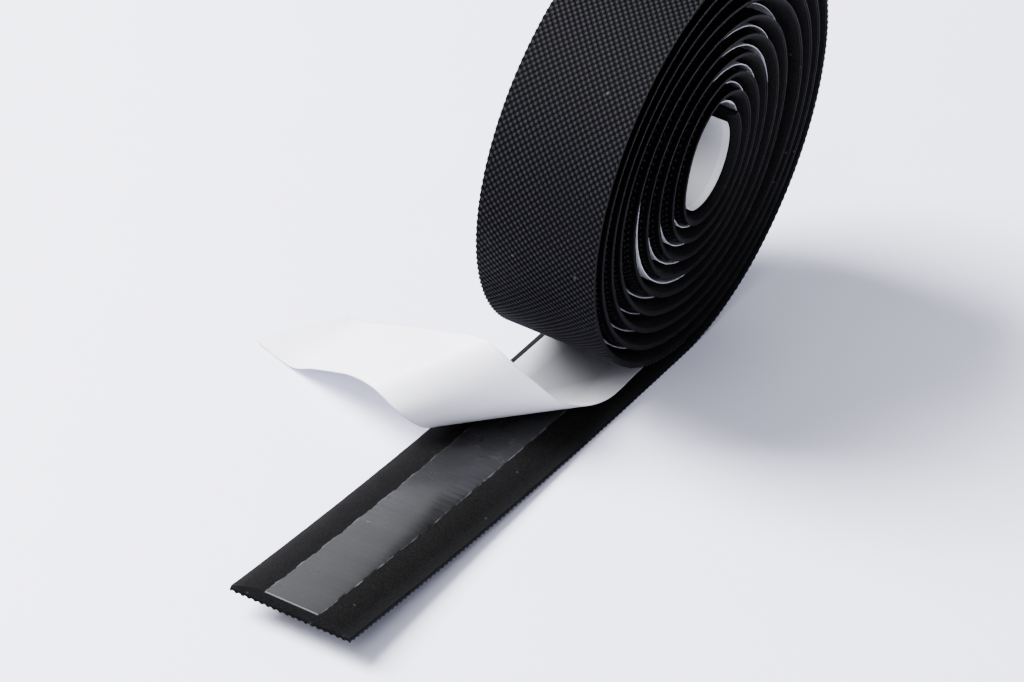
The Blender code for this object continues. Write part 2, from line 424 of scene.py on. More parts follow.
# ---- node trees ----------------------------------------------------------------------------------
class NodeDesk:
    """Adds nodes to one tree and links them."""

    def __init__(self, tree: bpy.types.NodeTree):
        """Starts on a tree."""
        self.tree = tree

    def add(
        self, kind: str, settings: Optional[Dict[str, object]] = None, **inputs: object
    ) -> bpy.types.Node:
        """Adds a node.

        Args:
            kind: the node's type name.
            settings: its own settings, such as its operation.
            inputs: for each input, a socket to link or a value. An underscore stands for a space,
                and i0, i1 and so on are inputs by number.

        Returns:
            The new node.
        """
        node = self.tree.nodes.new(kind)
        for label, value in (settings or {}).items():
            setattr(node, label, value)
        for label, value in inputs.items():
            by_number = label[0] == "i" and label[1:].isdigit()
            target = node.inputs[int(label[1:])] if by_number else node.inputs[label.replace("_", " ")]
            if isinstance(value, bpy.types.NodeSocket):
                self.tree.links.new(value, target)
            else:
                target.default_value = value
        return node

    def math(
        self, operation: str, first: object, second: object = 0.0, third: object = 0.0, clamp: bool = False
    ) -> bpy.types.NodeSocket:
        """Adds a math node and gives its result."""
        node = self.add(
            "ShaderNodeMath", {"operation": operation, "use_clamp": clamp}, i0=first, i1=second, i2=third
        )
        return node.outputs[0]

    def step(self, value: object, low: float, high: float) -> bpy.types.NodeSocket:
        """Adds a smooth step from 0 to 1.

        Args:
            value: the socket that it follows.
            low: the value that gives 0.
            high: the value that gives 1.

        Returns:
            The socket of the result.
        """
        node = self.add("ShaderNodeMapRange", {"interpolation_type": "SMOOTHSTEP"}, Value=value)
        node.inputs["From Min"].default_value = low
        node.inputs["From Max"].default_value = high
        return node.outputs["Result"]

    def blend(self, share: object, first: object, second: object) -> bpy.types.NodeSocket:
        """Adds a colour mix.

        Args:
            share: how much of the second colour there is.
            first: a socket or a colour.
            second: a socket or a colour.

        Returns:
            The socket of the result.
        """
        node = self.add("ShaderNodeMix", {"data_type": "RGBA"}, i0=share)
        for place, value in ((6, first), (7, second)):
            if isinstance(value, bpy.types.NodeSocket):
                self.tree.links.new(value, node.inputs[place])
            else:
                node.inputs[place].default_value = value
        return node.outputs[2]

    def noise(self, vector: bpy.types.NodeSocket, scale: float, detail: float = 2.0) -> bpy.types.NodeSocket:
        """Adds a noise texture and gives its value."""
        return self.add("ShaderNodeTexNoise", None, Vector=vector, Scale=scale, Detail=detail).outputs[0]


# ---- the emboss, made flat by geometry nodes and then laid on the path --------------------------------
@dataclass(frozen=True)
class Emboss:
    """Sizes of the skin's raised bumps: two lattices, the second set half a step on.

    The outer turn and the free end are one embossed sheet. Its height is a wave that is cut off
    at the ground and at the crest. The inner turns get separate bumps, set on the slab.
    """

    pitch_along: float = 0.00177
    rows: int = 19
    pitch_across: float = 0.030 / 19.0
    height: float = 0.00030
    divisions: int = 6
    bump_along: float = 0.00130
    bump_across: float = 0.00104
    bump_height: float = 0.00020
    sunk: float = 0.00006
    top_share: float = 0.40
    ground: float = -0.45
    crest: float = 0.70
    weld: float = 0.00001

    def sheet_tree(self) -> bpy.types.NodeTree:
        """Builds the node tree of an embossed sheet: one tile with its bumps, repeated both ways.

        Returns:
            A tree whose inputs are the counts of tiles, the tile's sizes and the material.
        """
        tree = bpy.data.node_groups.new("embossed_sheet", "GeometryNodeTree")
        face = tree.interface
        face.new_socket("Geometry", in_out="OUTPUT", socket_type="NodeSocketGeometry")
        for label, default in (
            ("Tiles Along", 10), ("Tiles Across", self.rows), ("Divisions", self.divisions)
        ):
            face.new_socket(label, in_out="INPUT", socket_type="NodeSocketInt").default_value = default
        for label, default in (
            ("Pitch Along", self.pitch_along), ("Pitch Across", self.pitch_across), ("Height", self.height),
        ):
            face.new_socket(label, in_out="INPUT", socket_type="NodeSocketFloat").default_value = default
        face.new_socket("Material", in_out="INPUT", socket_type="NodeSocketMaterial")
        desk = NodeDesk(tree)
        given = tree.nodes.new("NodeGroupInput").outputs
        sides = desk.math("ADD", given["Divisions"], 1.0)
        tile = desk.add("GeometryNodeMeshGrid")
        for label, socket in (
            ("Size X", given["Pitch Along"]), ("Size Y", given["Pitch Across"]),
            ("Vertices X", sides), ("Vertices Y", sides),
        ):
            tree.links.new(socket, tile.inputs[label])
        place = desk.add(
            "ShaderNodeSeparateXYZ", None, Vector=desk.add("GeometryNodeInputPosition").outputs[0]
        )
        waves = []
        for axis, pitch in (("X", "Pitch Along"), ("Y", "Pitch Across")):
            share = desk.math("DIVIDE", place.outputs[axis], given[pitch])
            waves.append(desk.math("COSINE", desk.math("MULTIPLY", share, 2.0 * math.pi)))
        rise = desk.step(desk.math("MULTIPLY", waves[0], waves[1]), self.ground, self.crest)
        lift = desk.add("ShaderNodeCombineXYZ", None, Z=desk.math("MULTIPLY", rise, given["Height"]))
        raised = desk.add(
            "GeometryNodeSetPosition", None, Geometry=tile.outputs["Mesh"], Offset=lift.outputs[0]
        )
        lattice = desk.add("GeometryNodeMeshGrid")
        for axis, count, pitch in (
            ("X", "Tiles Along", "Pitch Along"), ("Y", "Tiles Across", "Pitch Across")
        ):
            size = desk.math("MULTIPLY", desk.math("SUBTRACT", given[count], 1.0), given[pitch])
            tree.links.new(size, lattice.inputs["Size " + axis])
            tree.links.new(given[count], lattice.inputs["Vertices " + axis])
        spread = desk.add(
            "GeometryNodeInstanceOnPoints", None, Points=lattice.outputs["Mesh"], Instance=raised.outputs[0]
        )
        real = desk.add("GeometryNodeRealizeInstances", None, Geometry=spread.outputs[0])
        merged = desk.add("GeometryNodeMergeByDistance", None, Geometry=real.outputs[0], Distance=self.weld)
        dress = desk.add(
            "GeometryNodeSetMaterial", None, Geometry=merged.outputs[0], Material=given["Material"]
        )
        tree.links.new(dress.outputs[0], tree.nodes.new("NodeGroupOutput").inputs[0])
        return tree

    def heights(
        self, tree: bpy.types.NodeTree, along: int, across: int, material: bpy.types.Material
    ) -> np.ndarray:
        """Runs the sheet tree and reads the heights of its points.

        Args:
            tree: the tree made by sheet_tree().
            along: tiles along the tape.
            across: tiles across it.
            material: the skin's finish.

        Returns:
            Heights in a table: one row for each station along the tape.
        """
        points, _ = run_tree(tree, {"Tiles Along": along, "Tiles Across": across, "Material": material})
        step = np.array([self.pitch_along, self.pitch_across]) / self.divisions
        place = np.rint((points[:, :2] - points[:, :2].min(axis=0)) / step).astype(int)
        table = np.zeros((along * self.divisions + 1, across * self.divisions + 1))
        table[place[:, 0], place[:, 1]] = points[:, 2]
        return table

    def tree(self) -> bpy.types.NodeTree:
        """Builds the node tree that fills a flat strip with bumps.

        Returns:
            A tree whose inputs are the strip's length, width and bare middle, the bumps' sides and
            sizes, and the material.
        """
        tree = bpy.data.node_groups.new("emboss_bumps", "GeometryNodeTree")
        face = tree.interface
        face.new_socket("Geometry", in_out="OUTPUT", socket_type="NodeSocketGeometry")
        for label, default in (
            ("Length", 0.1), ("Width", 0.03), ("Bare Middle", 0.0), ("Pitch Along", self.pitch_along),
            ("Pitch Across", self.pitch_across), ("Bump Along", self.bump_along),
            ("Bump Across", self.bump_across), ("Bump Height", self.bump_height),
        ):
            face.new_socket(label, in_out="INPUT", socket_type="NodeSocketFloat").default_value = default
        face.new_socket("Sides", in_out="INPUT", socket_type="NodeSocketInt").default_value = 6
        face.new_socket("Material", in_out="INPUT", socket_type="NodeSocketMaterial")
        nodes, links = tree.nodes, tree.links
        inputs = nodes.new("NodeGroupInput")
        outputs = nodes.new("NodeGroupOutput")

        def math_node(operation: str, first: object, second: object) -> bpy.types.NodeSocket:
            """Adds a math node.

            Args:
                operation: what it does.
                first: a socket or a number.
                second: a socket or a number.

            Returns:
                The socket of the result.
            """
            node = nodes.new("ShaderNodeMath")
            node.operation = operation
            for place, operand in enumerate((first, second)):
                if isinstance(operand, (int, float)):
                    node.inputs[place].default_value = operand
                else:
                    links.new(operand, node.inputs[place])
            return node.outputs[0]

        def lattice(shift: float) -> bpy.types.NodeSocket:
            """Adds one grid of points.

            Args:
                shift: how far it is moved along, as a share of the pitch.

            Returns:
                The socket of the grid.
            """
            length, width = inputs.outputs["Length"], inputs.outputs["Width"]
            along, across = inputs.outputs["Pitch Along"], inputs.outputs["Pitch Across"]
            columns = math_node("FLOOR", math_node("ADD", math_node("DIVIDE", length, along), 0.1), 0.0)
            rows = math_node("FLOOR", math_node("DIVIDE", width, across), 0.0)
            rows = math_node("SUBTRACT", rows, shift * 2.0)
            grid = nodes.new("GeometryNodeMeshGrid")
            links.new(
                math_node("MULTIPLY", math_node("SUBTRACT", columns, 1.0), along), grid.inputs["Size X"]
            )
            links.new(math_node("MULTIPLY", math_node("SUBTRACT", rows, 1.0), across), grid.inputs["Size Y"])
            links.new(columns, grid.inputs["Vertices X"])
            links.new(rows, grid.inputs["Vertices Y"])
            offset = nodes.new("ShaderNodeCombineXYZ")
            links.new(math_node("MULTIPLY", along, shift), offset.inputs["X"])
            moved = nodes.new("GeometryNodeTransform")
            links.new(grid.outputs["Mesh"], moved.inputs["Geometry"])
            links.new(offset.outputs[0], moved.inputs["Translation"])
            return moved.outputs["Geometry"]

        joined = nodes.new("GeometryNodeJoinGeometry")
        links.new(lattice(0.0), joined.inputs[0])
        links.new(lattice(0.5), joined.inputs[0])
        place = nodes.new("GeometryNodeInputPosition")
        split = nodes.new("ShaderNodeSeparateXYZ")
        links.new(place.outputs[0], split.inputs[0])
        distance = math_node("ABSOLUTE", split.outputs["Y"], 0.0)
        bare = nodes.new("FunctionNodeCompare")
        bare.data_type = "FLOAT"
        bare.operation = "LESS_THAN"
        links.new(distance, bare.inputs["A"])
        links.new(math_node("MULTIPLY", inputs.outputs["Bare Middle"], 0.5), bare.inputs["B"])
        kept = nodes.new("GeometryNodeDeleteGeometry")
        kept.domain = "POINT"
        links.new(joined.outputs[0], kept.inputs["Geometry"])
        links.new(bare.outputs["Result"], kept.inputs["Selection"])
        bump = nodes.new("GeometryNodeMeshCone")
        bump.fill_type = "NGON"
        bump.inputs["Radius Top"].default_value = 0.5 * self.top_share
        bump.inputs["Radius Bottom"].default_value = 0.5
        bump.inputs["Depth"].default_value = 1.0
        links.new(inputs.outputs["Sides"], bump.inputs["Vertices"])
        size = nodes.new("ShaderNodeCombineXYZ")
        links.new(inputs.outputs["Bump Along"], size.inputs["X"])
        links.new(inputs.outputs["Bump Across"], size.inputs["Y"])
        links.new(inputs.outputs["Bump Height"], size.inputs["Z"])
        spread = nodes.new("GeometryNodeInstanceOnPoints")
        links.new(kept.outputs[0], spread.inputs["Points"])
        links.new(bump.outputs["Mesh"], spread.inputs["Instance"])
        links.new(size.outputs[0], spread.inputs["Scale"])
        real = nodes.new("GeometryNodeRealizeInstances")
        dress = nodes.new("GeometryNodeSetMaterial")
        links.new(spread.outputs[0], real.inputs[0])
        links.new(real.outputs[0], dress.inputs["Geometry"])
        links.new(inputs.outputs["Material"], dress.inputs["Material"])
        links.new(dress.outputs[0], outputs.inputs[0])
        return tree

    def flat_bumps(
        self,
        tree: bpy.types.NodeTree,
        length: float,
        width: float,
        bare: float,
        sides: int,
        material: bpy.types.Material,
    ) -> Tuple[np.ndarray, List[Tuple[int, ...]]]:
        """Runs the tree and reads its mesh.

        Args:
            tree: the tree made by tree().
            length: the strip's length.
            width: the strip's width.
            bare: width along the middle that gets no bumps.
            sides: sides of each bump.
            material: the skin's finish.

        Returns:
            The bumps' points, as (along from the strip's middle, across, height), and their faces.
        """
        values = {"Length": length, "Width": width, "Bare Middle": bare, "Sides": sides,
                  "Material": material, "Bump Height": self.bump_height + self.sunk}
        return run_tree(tree, values)


def run_tree(tree: bpy.types.NodeTree, values: Dict[str, object]) -> Tuple[np.ndarray, List[Tuple[int, ...]]]:
    """Evaluates a geometry tree and takes its mesh apart.

    Args:
        tree: a tree that makes a mesh from nothing.
        values: its inputs, by name.

    Returns:
        The mesh's points and faces.
    """
    seed = bpy.data.meshes.new("seed")
    holder = bpy.data.objects.new("seed", seed)
    bpy.context.scene.collection.objects.link(holder)
    modifier = holder.modifiers.new("repeat", "NODES")
    modifier.node_group = tree
    for item in tree.interface.items_tree:
        if item.in_out == "INPUT" and item.name in values:
            modifier[item.identifier] = values[item.name]
    bpy.context.view_layer.update()
    evaluated = holder.evaluated_get(bpy.context.evaluated_depsgraph_get())
    mesh = bpy.data.meshes.new_from_object(evaluated)
    points = np.zeros(len(mesh.vertices) * 3)
    mesh.vertices.foreach_get("co", points)
    faces = [tuple(polygon.vertices) for polygon in mesh.polygons]
    bpy.data.objects.remove(holder, do_unlink=True)
    bpy.data.meshes.remove(seed)
    bpy.data.meshes.remove(mesh)
    return points.reshape(-1, 3), faces


def embossed_skin(
    name: str,
    path: TapePath,
    emboss: Emboss,
    tree: bpy.types.NodeTree,
    start: float,
    tiles: int,
    material: bpy.types.Material,
) -> bpy.types.Object:
    """Builds a stretch of skin whose outer face is embossed all over.

    Args:
        name: the piece's name.
        path: the tape's path.
        emboss: the bumps' sizes.
        tree: the embossed sheet's tree.
        start: first length along the tape.
        tiles: how many tiles long it is.
        material: its finish.

    Returns:
        The closed piece, with its flat coordinates and how far each point stands out.
    """
    laminate = Laminate()
    across_tiles = int(round(laminate.tape_width / emboss.pitch_across))
    table = emboss.heights(tree, tiles, across_tiles, material)[:, ::-1]
    stations, places = table.shape
    half = 0.5 * laminate.tape_width
    inner = np.full((stations, 2), laminate.skin)
    height = np.concatenate([inner, -table], axis=1)
    across = np.concatenate([[-half, half], np.linspace(half, -half, places)])
    raised = np.concatenate([np.zeros((stations, 2)), table / emboss.height], axis=1)
    s = np.repeat(start + np.arange(stations) * emboss.pitch_along / emboss.divisions, places + 2)
    w = np.tile(across, stations)
    points = path.lay(s, w, height.ravel())
    piece = make_object(name, points, tube_faces(stations, places + 2), material)
    smooth_sides(piece, 75.0)
    add_flat_coordinates(piece, s, w)
    mark = piece.data.attributes.new("raised", "FLOAT", "POINT")
    mark.data.foreach_set("value", raised.ravel().astype(np.float32))
    return piece


def emboss_skin(
    piece: bpy.types.Object,
    path: TapePath,
    emboss: Emboss,
    tree: bpy.types.NodeTree,
    start: float,
    end: float,
    bare: float,
    sides: int,
) -> None:
    """Adds the emboss to a piece of skin, on its outer face, and marks how far each point stands out.

    Args:
        piece: the skin's slab, already on the path.
        path: the tape's path.
        emboss: the bumps' sizes.
        tree: the emboss tree.
        start: first length along the tape.
        end: last length along the tape.
        bare: width along the middle that gets no bumps.
        sides: sides of each bump.
    """
    width = Laminate().tape_width
    material = piece.data.materials[0]
    flat, faces = emboss.flat_bumps(tree, end - start, width, bare, sides, material)
    s = 0.5 * (start + end) + flat[:, 0]
    raised = flat[:, 2] / (emboss.bump_height + emboss.sunk)
    points = path.lay(s, flat[:, 1], emboss.sunk - flat[:, 2])
    bumps = make_object(piece.name + "_bumps", points, [face[::-1] for face in faces], material)
    add_flat_coordinates(bumps, s, flat[:, 1])
    smooth_sides(bumps, 25.0)
    for target, values in ((bumps, raised), (piece, np.zeros(len(piece.data.vertices)))):
        mark = target.data.attributes.new("raised", "FLOAT", "POINT")
        mark.data.foreach_set("value", values.astype(np.float32))
    bpy.ops.object.select_all(action="DESELECT")
    bumps.select_set(True)
    piece.select_set(True)
    bpy.context.view_layer.objects.active = piece
    bpy.ops.object.join()


# ---- finishes ------------------------------------------------------------------------------------
def plain_socket(tree: bpy.types.NodeTree, label: str, way: str, kind: str, value: object = None) -> None:
    """Adds a socket to a node group's interface.

    Args:
        tree: the group.
        label: the socket's name.
        way: INPUT or OUTPUT.
        kind: its type, such as Float or Vector.
        value: its default value, where it has one.
    """
    socket = tree.interface.new_socket(label, in_out=way, socket_type="NodeSocket" + kind)
    if value is not None:
        socket.default_value = value


@dataclass
class SharedEffects:
    """The shader effects that more than one finish uses, each a node group."""

    groups: Dict[str, bpy.types.NodeTree] = field(default_factory=dict)

    def build(self) -> None:
        """Builds the groups."""
        self.groups["grain"] = self.grain()
        self.groups["border"] = self.border()
        self.groups["lint"] = self.lint()

    def grain(self) -> bpy.types.NodeTree:
        """A two-size grain: a fine one for a surface's tooth and a coarse one for its mottle."""
        tree = bpy.data.node_groups.new("surface_grain", "ShaderNodeTree")
        plain_socket(tree, "Vector", "INPUT", "Vector")
        plain_socket(tree, "Fine Scale", "INPUT", "Float", 3000.0)
        plain_socket(tree, "Coarse Scale", "INPUT", "Float", 120.0)
        plain_socket(tree, "Fine", "OUTPUT", "Float")
        plain_socket(tree, "Mottle", "OUTPUT", "Float")
        plain_socket(tree, "Height", "OUTPUT", "Float")
        desk = NodeDesk(tree)
        inputs = tree.nodes.new("NodeGroupInput")
        vector = inputs.outputs["Vector"]
        fine = desk.add(
            "ShaderNodeTexNoise", None, Vector=vector, Scale=inputs.outputs["Fine Scale"], Detail=3.0
        )
        coarse = desk.add(
            "ShaderNodeTexNoise", None, Vector=vector, Scale=inputs.outputs["Coarse Scale"], Detail=4.0
        )
        height = desk.math("MULTIPLY_ADD", coarse.outputs[0], 0.35, fine.outputs[0])
        desk.add("NodeGroupOutput", None, Fine=fine.outputs[0], Mottle=coarse.outputs[0], Height=height)
        return tree

    def border(self) -> bpy.types.NodeTree:
        """A mask of the strip beyond a line along each edge, with a wavering border."""
        tree = bpy.data.node_groups.new("edge_border", "ShaderNodeTree")
        plain_socket(tree, "Tape", "INPUT", "Vector")
        plain_socket(tree, "Line", "INPUT", "Float", 0.014)
        plain_socket(tree, "Softness", "INPUT", "Float", 0.0005)
        plain_socket(tree, "Waver", "INPUT", "Float", 0.0004)
        plain_socket(tree, "Mask", "OUTPUT", "Float")
        desk = NodeDesk(tree)
        inputs = tree.nodes.new("NodeGroupInput")
        across = desk.add("ShaderNodeSeparateXYZ", None, Vector=inputs.outputs["Tape"]).outputs["Y"]
        waver = desk.math("SUBTRACT", desk.noise(inputs.outputs["Tape"], 160.0, 3.0), 0.5)
        away = desk.math("MULTIPLY_ADD", waver, inputs.outputs["Waver"], desk.math("ABSOLUTE", across))
        share = desk.math(
            "DIVIDE", desk.math("SUBTRACT", away, inputs.outputs["Line"]), inputs.outputs["Softness"]
        )
        mask = desk.math("ADD", share, 0.5, clamp=True)
        desk.add("NodeGroupOutput", None, Mask=mask)
        return tree

    def lint(self) -> bpy.types.NodeTree:
        """Sparse pale specks, such as dust that sticks to a surface."""
        tree = bpy.data.node_groups.new("lint_specks", "ShaderNodeTree")
        plain_socket(tree, "Vector", "INPUT", "Vector")
        plain_socket(tree, "Scale", "INPUT", "Float", 500.0)
        plain_socket(tree, "Amount", "INPUT", "Float", 0.06)
        plain_socket(tree, "Mask", "OUTPUT", "Float")
        desk = NodeDesk(tree)
        inputs = tree.nodes.new("NodeGroupInput")
        cells = desk.add(
            "ShaderNodeTexVoronoi", None, Vector=inputs.outputs["Vector"], Scale=inputs.outputs["Scale"]
        )
        chosen = desk.add("ShaderNodeSeparateXYZ", None, Vector=cells.outputs["Color"]).outputs["X"]
        picked = desk.math("LESS_THAN", chosen, inputs.outputs["Amount"])
        near = desk.step(cells.outputs["Distance"], 0.22, 0.10)
        desk.add("NodeGroupOutput", None, Mask=desk.math("MULTIPLY", picked, near))
        return tree


@dataclass(frozen=True)
class Finish:
    """What every finish has: its name, its layer and its even values."""

    name: str
    layer: Layer
    base: Colour
    light: Colour
    roughness: float
    specular: float = 0.5
    bump: float = 0.2

    def start(self) -> Tuple[bpy.types.Material, NodeDesk, bpy.types.Node, bpy.types.Node]:
        """Makes the material, with its even values.

        Returns:
            The material, the desk of its tree, its shader and its coordinates.
        """
        material = bpy.data.materials.new(self.name)
        material.use_nodes = True
        desk = NodeDesk(material.node_tree)
        shader = material.node_tree.nodes["Principled BSDF"]
        shader.inputs["Specular IOR Level"].default_value = self.specular
        shader.inputs["Roughness"].default_value = self.roughness
        coordinates = desk.add("ShaderNodeTexCoord")
        return material, desk, shader, coordinates

    def group(self, desk: NodeDesk, effects: SharedEffects, name: str, **inputs: object) -> bpy.types.Node:
        """Places one of the shared effects in this finish.

        Args:
            desk: the material's desk.
            effects: the shared node groups.
            name: which of them.
            inputs: for each input, a socket or a value. An underscore stands for a space.

        Returns:
            The group's node.
        """
        node = desk.tree.nodes.new("ShaderNodeGroup")
        node.node_tree = effects.groups[name]
        for label, value in inputs.items():
            target = node.inputs[label.replace("_", " ")]
            if isinstance(value, bpy.types.NodeSocket):
                desk.tree.links.new(value, target)
            else:
                target.default_value = value
        return node

    def roughen(self, desk: NodeDesk, shader: bpy.types.Node, height: object, distance: float) -> None:
        """Feeds a height through a Bump node to the shader's normal."""
        bump = desk.add("ShaderNodeBump", None, Strength=self.bump, Distance=distance, Height=height)
        desk.tree.links.new(bump.outputs["Normal"], shader.inputs["Normal"])

    def build(self, effects: SharedEffects) -> bpy.types.Material:
        """Builds the material. Each finish has its own."""
        raise NotImplementedError


class SkinFinish(Finish):
    """Charcoal embossed rubber, smoother on the bumps' tops; a painted highlight makes the tops paler and
    leaves the grooves dark as painted shade.
    """

    cut_colour = (0.0055, 0.0055, 0.0058, 1.0)
    dust_colour = (0.12, 0.12, 0.12, 1.0)

    def build(self, effects: SharedEffects) -> bpy.types.Material:
        """Builds the skin's material.

        Args:
            effects: the shared node groups.

        Returns:
            The material.
        """
        material, desk, shader, coordinates = self.start()
        place = coordinates.outputs["Object"]
        grain = self.group(desk, effects, "grain", Vector=place, Fine_Scale=4200.0, Coarse_Scale=90.0)
        raised = desk.add("ShaderNodeAttribute", {"attribute_name": "raised"}).outputs["Fac"]
        top = desk.step(raised, 0.30, 1.0)
        # painted highlight: the bumps' tops take the paler colour, the grooves keep the dark one as painted
        # shade
        painted_top_highlight = desk.math(
            "MULTIPLY", top, desk.math("MULTIPLY_ADD", grain.outputs["Mottle"], 0.6, 0.6, clamp=True)
        )
        cut = self.group(
            desk,
            effects,
            "border",
            Tape=coordinates.outputs["UV"],
            Line=0.0149,
            Softness=0.0002,
            Waver=0.0003,
        )
        lint = self.group(desk, effects, "lint", Vector=place, Scale=420.0, Amount=0.035)
        # painted highlight on the bumps' tops over painted shade in the grooves
        colour = desk.blend(painted_top_highlight, (*self.base, 1.0), (*self.light, 1.0))
        colour = desk.blend(desk.math("MULTIPLY", cut.outputs["Mask"], 0.55), colour, self.cut_colour)
        colour = desk.blend(desk.math("MULTIPLY", lint.outputs["Mask"], 0.20), colour, self.dust_colour)
        desk.tree.links.new(colour, shader.inputs["Base Color"])
        rough = desk.math("MULTIPLY_ADD", top, -0.12, self.roughness)
        rough = desk.math("MULTIPLY_ADD", desk.math("SUBTRACT", grain.outputs["Mottle"], 0.5), 0.18, rough)
        desk.tree.links.new(rough, shader.inputs["Roughness"])
        self.roughen(desk, shader, grain.outputs["Height"], 0.00003)
        return material


class FoamFinish(Finish):
    """Black closed-cell foam: a matte, open-pored face, paler where it thins out."""

    thin_colour = (0.014, 0.014, 0.0145, 1.0)
    dust_colour = (0.06, 0.06, 0.06, 1.0)

    def build(self, effects: SharedEffects) -> bpy.types.Material:
        """Builds the foam's material.

        Args:
            effects: the shared node groups.

        Returns:
            The material.
        """
        material, desk, shader, coordinates = self.start()
        place = coordinates.outputs["Object"]
        grain = self.group(desk, effects, "grain", Vector=place, Fine_Scale=2600.0, Coarse_Scale=140.0)
        pores = desk.add("ShaderNodeTexVoronoi", None, Vector=place, Scale=3400.0).outputs["Distance"]
        thin = self.group(
            desk,
            effects,
            "border",
            Tape=coordinates.outputs["UV"],
            Line=0.0138,
            Softness=0.0030,
            Waver=0.0006,
        )
        lint = self.group(desk, effects, "lint", Vector=place, Scale=520.0, Amount=0.05)
        colour = desk.blend(
            desk.step(grain.outputs["Fine"], 0.30, 0.72), (*self.base, 1.0), (*self.light, 1.0)
        )
        colour = desk.blend(desk.math("MULTIPLY", thin.outputs["Mask"], 0.45), colour, self.thin_colour)
        colour = desk.blend(desk.math("MULTIPLY", lint.outputs["Mask"], 0.30), colour, self.dust_colour)
        desk.tree.links.new(colour, shader.inputs["Base Color"])
        rough = desk.math("MULTIPLY_ADD", grain.outputs["Mottle"], 0.12, self.roughness - 0.06)
        desk.tree.links.new(rough, shader.inputs["Roughness"])
        self.roughen(desk, shader, desk.math("MULTIPLY_ADD", pores, 0.8, grain.outputs["Height"]), 0.00010)
        return material


class AdhesiveFinish(Finish):
    """A glossy film of adhesive: it flows into low waves; a painted glint lightens its borders, and its cut
    end is pale as well.
    """

    painted_glint_colour = (0.10, 0.10, 0.105, 1.0)
    dust_colour = (0.12, 0.12, 0.12, 1.0)

    def build(self, effects: SharedEffects) -> bpy.types.Material:
        """Builds the adhesive's material.

        Args:
            effects: the shared node groups.

        Returns:
            The material.
        """
        material, desk, shader, coordinates = self.start()
        place = coordinates.outputs["Object"]
        tape = coordinates.outputs["UV"]
        grain = self.group(desk, effects, "grain", Vector=place, Fine_Scale=1500.0, Coarse_Scale=170.0)
        edge = self.group(desk, effects, "border", Tape=tape, Line=0.00662, Softness=0.00014, Waver=0.0004)
        lint = self.group(desk, effects, "lint", Vector=place, Scale=380.0, Amount=0.02)
        gaps = desk.add("ShaderNodeMapping", None, Vector=tape, Scale=(1.0, 40.0, 1.0)).outputs[0]
        dashes = desk.step(desk.noise(gaps, 260.0, 2.0), 0.38, 0.62)
        split = desk.add("ShaderNodeSeparateXYZ", None, Vector=tape)
        cut = desk.math("LESS_THAN", split.outputs["X"], 0.00035)
        # painted highlight: a broken pale line along the borders stands in for the glint of the film's edges;
        # the cut end gets the same pale colour
        rim = desk.math("MAXIMUM", desk.math("MULTIPLY", edge.outputs["Mask"], dashes), cut)
        colour = desk.blend(
            desk.step(grain.outputs["Mottle"], 0.3, 0.7), (*self.base, 1.0), (*self.light, 1.0)
        )
        # painted glint on the borders and the cut end
        colour = desk.blend(desk.math("MULTIPLY", rim, 0.60), colour, self.painted_glint_colour)
        colour = desk.blend(desk.math("MULTIPLY", lint.outputs["Mask"], 0.20), colour, self.dust_colour)
        desk.tree.links.new(colour, shader.inputs["Base Color"])
        rough = desk.math("MULTIPLY_ADD", grain.outputs["Mottle"], 0.16, self.roughness - 0.08)
        desk.tree.links.new(rough, shader.inputs["Roughness"])
        streaks = desk.add("ShaderNodeMapping", None, Vector=tape, Scale=(0.22, 1.0, 1.0)).outputs[0]
        flow = desk.noise(streaks, 420.0, 3.0)
        self.roughen(desk, shader, desk.math("MULTIPLY_ADD", flow, 1.4, grain.outputs["Height"]), 0.00010)
        return material


@dataclass(frozen=True)
class LinerFinish(Finish):
    """White siliconised paper: half-gloss and faintly fibrous, grey where the adhesive wets it; the grey also
    holds painted shade of the roll over the seat, the peel and the wound turns.
    """

    wet_and_shade: Colour = (0.11, 0.11, 0.12)
    fibre: Colour = (0.70, 0.70, 0.72)
    cut: Colour = (0.62, 0.62, 0.64)

    def build(self, effects: SharedEffects) -> bpy.types.Material:
        """Builds the liner's material.

        Args:
            effects: the shared node groups.

        Returns:
            The material.
        """
        material, desk, shader, coordinates = self.start()
        place = coordinates.outputs["Object"]
        grain = self.group(desk, effects, "grain", Vector=place, Fine_Scale=1300.0, Coarse_Scale=45.0)
        tape = coordinates.outputs["UV"]
        edge = self.group(desk, effects, "border", Tape=tape, Line=0.0119, Softness=0.0002, Waver=0.0002)
        free = self.group(desk, effects, "border", Tape=tape, Line=0.0088, Softness=0.0060, Waver=0.0006)
        stuck = desk.add("ShaderNodeAttribute", {"attribute_name": "stuck"}).outputs["Fac"]
        # painted shade: this grey mask is partly the adhesive showing through and partly the roll's shade,
        # painted on the seat, the first peeled rows and the wound turns
        wet_and_shade = desk.math("MULTIPLY", stuck, desk.math("MULTIPLY_ADD", free.outputs["Mask"], -0.40, 1.0))
        fibres = desk.noise(
            desk.add("ShaderNodeMapping", None, Vector=place, Scale=(1.0, 3.5, 2.0)).outputs[0], 900.0, 4.0
        )
        colour = desk.blend(
            desk.step(grain.outputs["Mottle"], 0.25, 0.8), (*self.light, 1.0), (*self.base, 1.0)
        )
        colour = desk.blend(
            desk.math("MULTIPLY", desk.step(fibres, 0.55, 0.8), 0.30), colour, (*self.fibre, 1.0)
        )
        colour = desk.blend(desk.math("MULTIPLY", wet_and_shade, 0.90), colour, (*self.wet_and_shade, 1.0))
        rim = desk.math("MULTIPLY", edge.outputs["Mask"], desk.math("MULTIPLY_ADD", wet_and_shade, -0.50, 0.90))
        colour = desk.blend(rim, colour, (*self.cut, 1.0))
        desk.tree.links.new(colour, shader.inputs["Base Color"])
        rough = desk.math("MULTIPLY_ADD", fibres, 0.20, self.roughness - 0.10)
        desk.tree.links.new(rough, shader.inputs["Roughness"])
        self.roughen(desk, shader, desk.math("MULTIPLY_ADD", fibres, 1.0, grain.outputs["Height"]), 0.00004)
        return material


